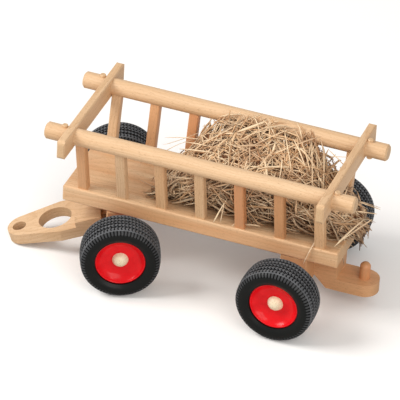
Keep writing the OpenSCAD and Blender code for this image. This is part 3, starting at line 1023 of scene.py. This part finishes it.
@dataclass
class Hay:
    """The hay: a matted inside, dark with painted shade, under thousands of bent straws, and loose straws
    round it.
    """

    heap: Heap = field(default_factory=Heap)
    rack: Rack = field(default_factory=Rack)
    straw: Straw = field(default_factory=Straw)
    rings: int = 7
    sides: int = 4
    most_pressed: float = 7.0

    def core_mesh(self) -> bpy.types.Object:
        """The inside of the heap as a closed surface of length and girth.

        Each section is a loop: along the bed from left to right, up the right side, over the top and
        down the left side. It lies some millimetres inside the heap, with sums of sines as lumps.

        Returns:
            The core.
        """
        rows, columns = 90, 72
        bed, hanging = self.heap.bed_top + 0.8, 66.0
        along = np.linspace(0.03, 0.975, rows)[:, None] * np.ones((1, columns))
        girth = np.linspace(0, 2 * np.pi, columns, endpoint=False)[None, :] * np.ones((rows, 1))
        across = np.clip(1.25 * np.cos(girth), -1, 1)
        level = np.clip(0.5 + 0.62 * np.sin(girth), 0, 1)
        points = self.heap.point(along, across * 0.93, level)
        middle = self.heap.point(along, across * 0.0, level * 0 + 0.5)
        lumps = (np.sin(along * 61 + 3 * np.sin(girth * 5)) + np.sin(girth * 9 + along * 40)
                 + np.sin(girth * 17 - along * 133)) / 3
        inset = 0.90 + 0.05 * lumps
        points = middle + (points - middle) * inset[..., None]
        low = np.where(points[..., 0] < self.heap.bed_back - 1, hanging, bed)
        points[..., 2] = np.maximum(np.where(level < 0.05, bed, points[..., 2]), low)
        ends = points[[0, -1]].mean(1)
        flat = np.concatenate([points.reshape(-1, 3), ends])
        j = np.arange(columns)
        j2 = (j + 1) % columns
        back = (rows - 1) * columns
        cap_front = np.stack([np.full(columns, rows * columns), j, j2], -1)
        cap_back = np.stack([np.full(columns, rows * columns + 1), back + j2, back + j], -1)
        faces = grid_faces(rows, columns, False, True).tolist() + cap_front.tolist() + cap_back.tolist()
        mesh = bpy.data.meshes.new("hay_core")
        mesh.from_pydata((flat * MM).tolist(), [], faces)
        mesh.polygons.foreach_set("use_smooth", np.ones(len(mesh.polygons), bool))
        mesh.update()
        return put_object("hay_core", mesh)

    def clear(self, points: np.ndarray, width: np.ndarray) -> np.ndarray:
        """Presses straw points clear of the bed, the poles and the stakes.

        A point above the bed is lifted onto it. A point within a pole's radius moves straight out from
        the pole's axis. A point beside a stake stays behind the stake's inner face.

        Args:
            points: straw points in millimetres, straws by rings by 3.
            width: each straw's half width.

        Returns:
            The moved points.
        """
        rack = self.rack
        x, y, z = points[..., 0], points[..., 1], points[..., 2]
        pad = width[:, None] + rack.gap
        on_bed = (x > rack.bed_back - pad) & (x < rack.bed_front)
        on_bed &= (np.abs(y) < rack.bed_half + pad) & (z > rack.bed_low)
        z = np.where(on_bed, np.maximum(z, rack.bed_top + pad), z)
        rise = z - rack.bed_top
        nearest = np.abs(((rack.stake_x - x) / rack.stake_pitch + 0.5) % 1.0 - 0.5) * rack.stake_pitch
        beside = (nearest < rack.stake_half + pad) & (np.abs(rack.stake_x - x) < rack.stake_reach)
        beside &= rise < rack.stake_h
        inner = rack.stake_inner + np.clip(rise, 0, rack.stake_h) * self.heap.lean - pad
        y = np.where(beside, np.clip(y, -inner, inner), y)
        for side in Side:
            pole_y = side.value * rack.pole_y
            dy, dz = y - pole_y, z - rack.pole_z
            far = np.maximum(np.hypot(dy, dz), 1e-3)
            push = np.maximum(1.0, (rack.pole_r + pad) / far)
            near = far < rack.pole_r + pad
            y = np.where(near, pole_y + dy * push, y)
            z = np.where(near, rack.pole_z + dz * push, z)
        return np.stack([x, y, z], -1)

    def straws(self, name: str, start: np.ndarray, heading: np.ndarray, length: np.ndarray,
               bend: np.ndarray, width: np.ndarray, tone: np.ndarray, deep: np.ndarray,
               loose: np.ndarray | None = None) -> bpy.types.Object:
        """Straws as one mesh: each is a slim four-sided tube along a bent line.

        A straw's middle line is its middle point plus its heading times the distance along it, plus a
        parabola times the bend. Straws that the heap's shape would bend too far, and those that meet a
        crossbar, are left out. Each ring has four corners, two wide apart and two close, which turn
        slowly along the straw, and both ends draw in to a blunt tip.

        Args:
            name: the piece's name.
            start: the middle of each straw, in millimetres.
            heading: each straw's unit direction.
            length: each straw's length.
            bend: each straw's sideways bend vector.
            width: each straw's half width.
            tone: each straw's tone, 0 pale to 1 brown.
            deep: how much painted shade each straw takes, 0 to 1.
            loose: how far each straw may stand out of the heap, in millimetres; None lets it lie free.

        Returns:
            The piece.
        """
        t = np.linspace(-0.5, 0.5, self.rings)[None, :, None]
        line = start[:, None] + heading[:, None] * length[:, None, None] * t
        line = line + bend[:, None] * (1 - 4 * t**2)
        pressed = line if loose is None else self.heap.press(line, loose)
        moved = np.linalg.norm(pressed - line, axis=-1).max(1)
        line = self.clear(pressed, width)
        front_bar, rear_bar = (np.abs(line[..., 0] - x) < self.rack.bar_half for x in self.rack.bar_x)
        crossed = (front_bar | rear_bar) & (line[..., 2] > self.rack.bar_low)
        keep = (moved < self.most_pressed) & ~crossed.any(1)
        line, width, tone, deep, length = line[keep], width[keep], tone[keep], deep[keep], length[keep]
        count = len(line)
        forward = np.gradient(line, axis=1)
        forward /= np.maximum(np.linalg.norm(forward, axis=-1, keepdims=True), 1e-6)
        up = np.array([0.13, 0.21, 0.97])
        across = np.cross(forward, up)
        across /= np.maximum(np.linalg.norm(across, axis=-1, keepdims=True), 1e-6)
        over = np.cross(across, forward)
        corner = np.arange(self.sides) * 2 * np.pi / self.sides
        turn = (np.arange(count)[:, None, None] * 2.4 + t[..., 0][..., None] * 0.9 + corner[None, None, :])
        taper = np.clip(1.25 - 1.1 * np.abs(2 * t[..., 0]) ** 6, 0.35, 1.0)[..., None] * width[:, None, None]
        flat = np.where(np.arange(self.sides) % 2 == 0, 1.0, 0.62)[None, None, :]
        wide = taper * flat
        points = (line[:, :, None] + (np.cos(turn) * wide)[..., None] * across[:, :, None]
                  + (np.sin(turn) * wide)[..., None] * over[:, :, None])
        ring = self.rings * self.sides
        i = np.arange(self.rings - 1)[:, None]
        j = np.arange(self.sides)[None, :]
        j2 = (j + 1) % self.sides
        tube = np.stack([i * self.sides + j, i * self.sides + j2, (i + 1) * self.sides + j2,
                         (i + 1) * self.sides + j], -1).reshape(-1, 4)
        first_tip = np.arange(self.sides)
        tips = np.stack([first_tip[::-1], first_tip + ring - self.sides])
        one = np.concatenate([tube, tips])[:, [0, 3, 2, 1]]
        faces = (one[None] + (np.arange(count) * ring)[:, None, None]).reshape(-1, 4)
        piece = put_mesh(name, points.reshape(-1, 3) * MM, faces)
        put_attribute(piece, "tone", np.repeat(tone, ring))
        put_attribute(piece, "deep", np.repeat(deep, ring))
        uv = piece.data.uv_layers.new(name="straw")
        corners = (count, self.rings, self.sides)
        u = np.broadcast_to(j[None].astype(float), corners)
        v = np.broadcast_to(np.linspace(0, 1, self.rings)[None, :, None] * length[:, None, None]
                            + 37.0 * np.arange(count)[:, None, None], corners)
        pairs = np.stack([u, v], -1).reshape(-1, 2)[faces.ravel()]
        uv.data.foreach_set("uv", np.ascontiguousarray(pairs, np.float32).ravel())
        return piece

    def headings(self, rng: np.random.Generator, along: np.ndarray, across: np.ndarray, level: np.ndarray,
                 wander: float) -> np.ndarray:
        """Directions that lie along the heap's surface.

        A direction is the surface's slope along the wagon and its slope across it, mixed by a random
        angle, plus a little that lifts out of the surface.

        Args:
            rng: the random numbers.
            along: the share of the length of each place.
            across: the share of the half width of each place.
            level: the share of the height of each place.
            wander: how far a direction lifts out of the surface.

        Returns:
            Unit directions, one row each.
        """
        step = 0.01
        here = self.heap.point(along, across, level)
        fore = self.heap.point(np.clip(along + step, 0, 1), across, level) - here
        over = self.heap.point(along, across + 0.05, level)
        side = np.where((level < 1)[:, None], self.heap.point(along, across, level + 0.05), over) - here
        fore /= np.maximum(np.linalg.norm(fore, axis=-1, keepdims=True), 1e-6)
        side /= np.maximum(np.linalg.norm(side, axis=-1, keepdims=True), 1e-6)
        angle = rng.uniform(0, np.pi, len(along))[:, None]
        heading = np.cos(angle) * fore + np.sin(angle) * side
        heading += rng.normal(0, wander, heading.shape)
        return heading / np.linalg.norm(heading, axis=-1, keepdims=True)

    def layer(self, laid: Layer, rng: np.random.Generator) -> bpy.types.Object:
        """One layer of straws all over the heap.

        Args:
            laid: the layer's name and sizes.
            rng: the random numbers.

        Returns:
            The piece.
        """
        count = laid.count
        along = rng.uniform(0.005, 0.985, count)
        across = rng.uniform(-1.0, 1.0, count)
        on_top = rng.random(count) < 0.62
        level = np.where(on_top, 1.0, rng.random(count) ** 0.8)
        across = np.where(on_top, across, np.sign(across))
        heading = self.headings(rng, along, across, level, laid.wander)
        where = self.heap.point(along, across, level)
        inward = self.heap.point(along, across * 0, level * 0 + 0.35) - where
        inward /= np.maximum(np.linalg.norm(inward, axis=-1, keepdims=True), 1e-6)
        down = rng.uniform(*laid.depth, count)
        where = where + inward * down[:, None]
        shortest, longest = laid.length
        slimmest, widest = laid.width
        size = rng.uniform(0, 1, count) ** 1.6 * (longest - shortest) + shortest
        half = rng.uniform(0, 1, count) ** 2.0 * (widest - slimmest) + slimmest
        bend = rng.normal(0, 0.045, (count, 3)) * size[:, None]
        tone = np.clip(rng.beta(1.6, 2.6, count), 0, 1)
        # Painted shade: straws laid deeper take more of the dark colour, and straws low over the bed more
        # still, up to 0.92.
        deep = np.clip((down - 1.0) / 9.0, 0, 1) * laid.shade
        low = np.clip(1.0 - (where[:, 2] - self.heap.bed_top) / 32.0, 0, 1) * 0.50
        dark = np.clip(deep + low, 0, 0.92)
        loose = np.minimum(laid.slack[0] + rng.exponential(laid.slack[1], count), laid.most_slack)
        return self.straws(laid.name, where, heading, size, bend, half, tone, dark, loose)

    def laid(self, name: str, ends: list[tuple[float, ...]], half: float) -> bpy.types.Object:
        """Single straws between chosen end points.

        Args:
            name: the piece's name.
            ends: two end points and an upward bend, in millimetres, for each straw.
            half: the straws' half width.

        Returns:
            The piece.
        """
        table = np.array(ends, float)
        a, b = table[:, 0:3], table[:, 3:6]
        size = np.linalg.norm(b - a, axis=1)
        bend = np.zeros_like(a)
        bend[:, 2] = table[:, 6]
        tone = np.linspace(0.02, 0.35, len(a))
        return self.straws(name, (a + b) / 2, (b - a) / size[:, None], size, bend,
                           np.full(len(a), half), tone, np.zeros(len(a)))

    def strewn(self, name: str, rng: np.random.Generator, count: int) -> bpy.types.Object:
        """Thin straws strewn flat on the bed in front of the heap, fewer further forward.

        Args:
            name: the piece's name.
            rng: the random numbers.
            count: the number of straws.

        Returns:
            The piece.
        """
        x = 22.0 + rng.random(count) ** 1.6 * 24.0
        y = rng.uniform(-26, 26, count)
        yaw = rng.uniform(0, np.pi, count)
        heading = np.stack([np.cos(yaw), np.sin(yaw), rng.normal(0, 0.05, count)], -1)
        size = rng.uniform(7, 26, count)
        z = self.heap.bed_top + 0.8 + rng.random(count) * 2.0
        bend = rng.normal(0, 0.03, (count, 3)) * size[:, None]
        half = rng.uniform(0.25, 0.55, count)
        tone = rng.uniform(0.1, 0.9, count)
        return self.straws(name, np.stack([x, y, z], -1), heading, size, bend, half, tone, np.zeros(count))

    def build(self) -> None:
        """Makes the core, three layers and the loose straws, which all ride on the wagon."""
        rng = np.random.default_rng(41)
        core = self.core_mesh()
        dress(core, self.straw.core("hay_inside"))
        layers = (
            Layer("hay_lower_straws", 2100, (5.5, 12.0), (18, 52), (0.50, 1.20), 0.18, 0.96, (-4.0, 1.0)),
            Layer("hay_middle_straws", 1500, (2.5, 7.0), (18, 60), (0.45, 1.25), 0.25, 0.80, (-2.0, 1.8)),
            Layer("hay_upper_straws", 1400, (-0.5, 3.5), (20, 80), (0.50, 1.25), 0.25, 0.25, (0.6, 2.8)),
        )
        pieces = [
            *(self.layer(laid, rng) for laid in layers),
            self.strewn("hay_strewn_straws", rng, 46),
            self.laid("hay_single_straws", self.single_straws(), 0.80),
            self.laid("hay_thin_straws", self.thin_straws(), 0.42),
        ]
        finish = self.straw.material("hay_straw")
        for piece in pieces:
            dress(piece, finish)
        for piece in (core, *pieces):
            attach(piece, "wagon")
            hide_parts("hay_load")
            LOG.info("%s made with %d faces", piece.name, len(piece.data.polygons))

    def single_straws(self) -> list[tuple[float, ...]]:
        """The single straws that lie out of the heap: both ends and an upward bend, in millimetres."""
        return [
            (-120.0, 38.0, 86.0, -108.5, 40.2, 53.0, 1.0),
            (-134.0, 36.0, 76.0, -154.0, 24.0, 102.0, 1.0),
            (-137.0, 30.0, 79.0, -158.0, 12.0, 96.0, 0.0),
            (26.0, 37.5, 103.5, -7.0, 37.5, 110.5, 1.0),
            (-35.0, 34.5, 96.0, -25.5, 38.6, 71.8, 1.0),
            (-33.0, 35.5, 92.0, -31.0, 36.0, 72.0, 0.5),
            (-66.0, 33.0, 76.0, -42.0, 38.0, 72.5, 1.5),
            (-140.0, -6.0, 98.0, -163.0, 6.0, 104.0, 0.0),
            (-142.0, 4.0, 95.0, -161.0, 8.0, 100.0, 0.0),
            (21.0, 3.0, 113.0, -52.0, -3.0, 114.0, 2.5),
            (22.0, -12.0, 111.0, -43.0, 1.0, 119.0, 2.0),
            (30.0, 12.0, 104.0, -20.0, 22.0, 112.0, 2.0),
            (-30.0, 2.0, 120.0, -66.0, -34.0, 135.5, 1.5),
            (-52.0, -2.0, 119.0, -93.0, -34.0, 135.0, 1.5),
            (-62.0, -30.0, 134.5, -82.0, 6.0, 119.0, 1.0),
            (-86.0, -32.0, 134.0, -104.0, 14.0, 112.0, 2.0),
        ]

    def thin_straws(self) -> list[tuple[float, ...]]:
        """The thin stalks at the heap's front and rear, listed in the same way."""
        return [
            (-104.0, -30.0, 120.0, -124.0, -26.0, 127.0, 0.0),
            (-102.0, -33.0, 124.0, -122.0, -22.0, 118.0, 0.5),
            (46.0, -28.0, 99.0, 6.0, -20.0, 112.0, 1.5),
            (44.0, -20.0, 97.0, 12.0, -26.0, 116.0, -1.0),
            (42.0, -14.0, 93.0, 18.0, -30.0, 104.0, 2.0),
            (40.0, 4.0, 88.0, 8.0, -8.0, 114.0, 1.0),
            (38.0, 20.0, 84.0, 4.0, 12.0, 108.0, -1.5),
            (-140.0, -10.0, 96.0, -162.0, 2.0, 103.0, 0.0),
        ]


# ---------------------------------------------------------------- studio


@dataclass
class Studio:
    """A plain pale floor, soft lights and the camera.

    The camera has its lens in millimetres, its azimuth from +y, elevation and roll in radians, and its
    distance from the target in metres. The lamps stand at their own reach from a point over the floor.
    """

    lens: float = 367.85
    azimuth: float = float(np.radians(18.6317))
    elevation: float = float(np.radians(34.1482))
    roll: float = float(np.radians(3.3104))
    distance: float = 3.540645
    target: Triple = (0.001228, -0.001459, 0.062668)
    key: float = 0.79
    fill: float = 0.50
    sky: float = 0.54
    lamp_reach: float = 2.2
    lamp_aim: float = 0.06
    floor_half: float = 6.0
    floor_z: float = -0.0002

    def build_camera(self) -> None:
        """Puts the camera on its line of sight, turned by its roll."""
        a, e, r = self.azimuth, self.elevation, self.roll
        back = Vector((-np.sin(a) * np.cos(e), np.cos(a) * np.cos(e), np.sin(e)))
        right = (-back).cross(Vector((0, 0, 1))).normalized()
        up = right.cross(-back)
        turned_right = right * np.cos(r) + up * np.sin(r)
        turned_up = -right * np.sin(r) + up * np.cos(r)
        data = bpy.data.cameras.new("camera")
        data.lens = self.lens
        data.sensor_width = 36.0
        data.clip_end = 50.0
        camera = put_object("camera", data)
        basis = Matrix((turned_right, turned_up, back)).transposed().to_4x4()
        camera.matrix_world = Matrix.Translation(Vector(self.target) + back * self.distance) @ basis
        bpy.context.scene.camera = camera

    def build_lamp(self, name: str, direction: Triple, size: float, level: float, colour: Colour) -> None:
        """Adds a square area lamp that faces the wagon.

        Args:
            name: the lamp's name.
            direction: the way to the lamp.
            size: its side in metres.
            level: the light that it throws on a surface that faces it, where 1 shows a colour as written.
            colour: its colour.
        """
        away = Vector(direction).normalized()
        data = bpy.data.lights.new(name, "AREA")
        data.shape = "SQUARE"
        data.size = size
        data.energy = level * float(np.pi) ** 2 * self.lamp_reach**2
        data.color = colour
        lamp = put_object(name, data)
        lamp.location = away * self.lamp_reach + Vector((0, 0, self.lamp_aim))
        lamp.rotation_euler = away.to_track_quat("Z", "Y").to_euler()

    def build_world(self) -> None:
        """A soft even sky, white where the camera looks at it, straight or through something clear."""
        world = bpy.data.worlds.new("studio")
        bpy.context.scene.world = world
        tree = Tree("studio", world)
        tree.nodes.clear()
        path = tree.add("LightPath").outputs
        seen = tree.math("MAXIMUM", path["Is Camera Ray"], path["Is Transmission Ray"])
        strength = tree.add("MapRange", {"Value": seen, "To Min": self.sky, "To Max": 1.0}).outputs["Result"]
        sky = tree.add("Background", {"Color": (1.0, 0.985, 0.965), "Strength": strength}).outputs[0]
        tree.add("OutputWorld", {"Surface": sky})

    def build_floor(self) -> None:
        """A pale floor that looks white, further off by a glow of its own, and keeps the wagon's shadow."""
        half, z = self.floor_half, self.floor_z
        points = np.array([(-half, -half, z), (half, -half, z), (half, half, z), (-half, half, z)])
        floor = put_mesh("floor", points, np.array([[0, 1, 2, 3]]), False)
        tree = Tree("pale_floor")
        seen = tree.add("LightPath").outputs["Is Camera Ray"]
        coords = tree.add("TexCoord").outputs["Object"]
        reach = tree.add("VectorMath", {0: coords}, operation="LENGTH").outputs["Value"]
        far = tree.add("MapRange", {"Value": reach, "From Min": 0.5, "From Max": 2.2, "To Max": 0.5})
        tree.set(Emission_Strength=tree.times(seen, far.outputs["Result"]), Emission_Color=(1.0, 1.0, 1.0),
                 Base_Color=tree.mix(seen, (0.55, 0.54, 0.53), (1.0, 1.0, 1.0)), Roughness=1.0,
                 Specular_IOR_Level=0.0)
        dress(floor, tree.material)

    def build(self) -> None:
        """Builds the whole studio."""
        self.build_camera()
        self.build_world()
        self.build_floor()
        self.build_lamp("key", (0.69, 0.35, 0.65), 1.1, self.key, (1.0, 0.975, 0.94))
        self.build_lamp("fill", (-0.64, 0.66, 0.52), 1.6, self.fill, (1.0, 0.955, 0.905))
        bpy.context.scene.view_settings.view_transform = "Standard"


def main() -> None:
    """Builds the studio and then the wagon's sub-assemblies."""
    logging.basicConfig(level=logging.INFO, format="%(name)s: %(message)s")
    Studio().build()
    Woodwork().build()
    Axles().build()
    for corner in ("front_left", "front_right", "rear_left", "rear_right"):
        Wheel(corner).build()
    Hay().build()


if __name__ == "__main__":
    main()
